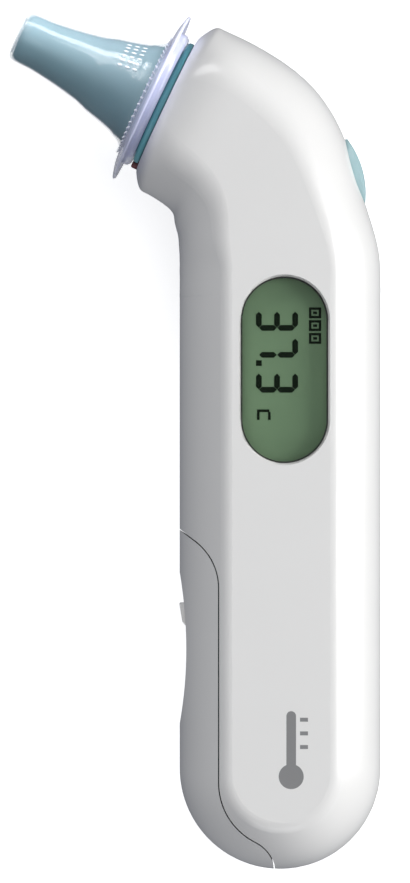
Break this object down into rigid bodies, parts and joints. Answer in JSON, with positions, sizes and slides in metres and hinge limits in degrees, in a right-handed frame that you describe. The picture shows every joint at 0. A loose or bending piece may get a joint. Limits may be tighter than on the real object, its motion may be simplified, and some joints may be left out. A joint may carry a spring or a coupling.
{
  "type": "digital ear thermometer",
  "caption": "Hand-held infrared ear thermometer: slim bent body, side-read display, tapered probe with clear filter cap, start button and sliding battery door.",
  "frame": {"origin": "on the flat back, on the centre line of the handle, at the centre of its round lower end", "axes": "+Z is the normal of the display face, +Y runs up the handle towards the head, and the probe leans out of the head towards -X"},
  "size_m": [0.0661, 0.1525, 0.033],
  "materials": {
    "white_plastic": "smooth satin gloss, moulded",
    "teal_plastic": "smooth, moulded",
    "pale_teal_soft": "satin, slightly soft",
    "clear_plastic": "thin clear moulding",
    "clear_film": "thin film",
    "clear_window": "polished clear plastic",
    "display": "grey green display glass",
    "display_ink": "dark segments",
    "foam": "dark foam",
    "reflector": "satin foil",
    "holder_plastic": "moulded",
    "connector": "elastomer",
    "board": "green laminate with solder mask",
    "chip": "moulded epoxy",
    "component": "ceramic bodies with tinned ends",
    "sounder": "thin disc",
    "cell_jacket": "printed film on steel",
    "steel": "plated steel",
    "tray": "moulded",
    "lead": "insulated wire",
    "switch_body": "moulded",
    "gold": "gold plated",
    "brass_block": "machined",
    "window_film": "coated silicon window",
    "pin_plastic": "dark red, moulded",
    "mark_ink": "grey print"
  },
  "bodies": {
    "root": {"front_shell": "white_plastic", "rear_shell": "white_plastic", "display_window": "clear_window", "display_gasket": "foam", "display_glass": "display", "display_digits": "display_ink", "memory_sign": "display_ink", "display_reflector": "reflector", "display_holder": "holder_plastic", "display_connectors": "connector", "main_board": "board", "board_screws": "steel", "controller_chip": "chip", "amplifier_chip": "chip", "small_components": "component", "buzzer": "sounder", "cell_front": "cell_jacket", "cell_rear": "cell_jacket", "battery_springs": "steel", "contact_plates": "steel", "battery_tray": "tray", "battery_leads": "lead", "start_switch": "switch_body", "switch_board": "board", "probe_nozzle": "teal_plastic", "probe_window": "window_film", "waveguide": "gold", "thermopile": "steel", "sensor_holder": "brass_block", "sensor_board": "board", "sensor_cable": "lead", "ejector_spring": "steel", "detector_switch": "switch_body", "case_screws": "steel", "printed_mark": "mark_ink"},
    "ejector": {"ejector_ring": "teal_plastic"},
    "filter": {"lens_filter": "clear_plastic", "filter_membrane": "clear_film"},
    "detector": {"detector_pin": "pin_plastic", "detector_rod": "switch_body"},
    "start": {"start_button": "pale_teal_soft", "switch_stem": "switch_body"},
    "door": {"battery_door": "white_plastic"},
    "latch": {"door_latch": "white_plastic"}
  },
  "joints": [
    {"name": "ejector_slide", "type": "slide", "parent": "root", "child": "ejector", "axis": [-0.9033, 0.4289, 0], "range_m": [0, 0.004], "stiffness_N_per_m": 300, "springref_m": -0.003, "deforming": ["ejector_spring"]},
    {"name": "filter_pull", "type": "slide", "parent": "ejector", "child": "filter", "axis": [-0.9033, 0.4289, 0], "range_m": [0, 0.032]},
    {"name": "detector_press", "type": "slide", "parent": "root", "child": "detector", "axis": [0.9033, -0.4289, 0], "range_m": [0, 0.0012], "stiffness_N_per_m": 200, "springref_m": -0.001},
    {"name": "start_press", "type": "slide", "parent": "root", "child": "start", "axis": [-0.9668, -0.2554, 0], "range_m": [0, 0.0008], "stiffness_N_per_m": 1500, "springref_m": -0.0005},
    {"name": "door_slide", "type": "slide", "parent": "root", "child": "door", "axis": [0, -1, 0], "range_m": [0, 0.062]},
    {"name": "latch_press", "type": "slide", "parent": "door", "child": "latch", "axis": [1, 0, 0], "range_m": [0, 0.0007], "stiffness_N_per_m": 800, "springref_m": -0.0005}
  ]
}
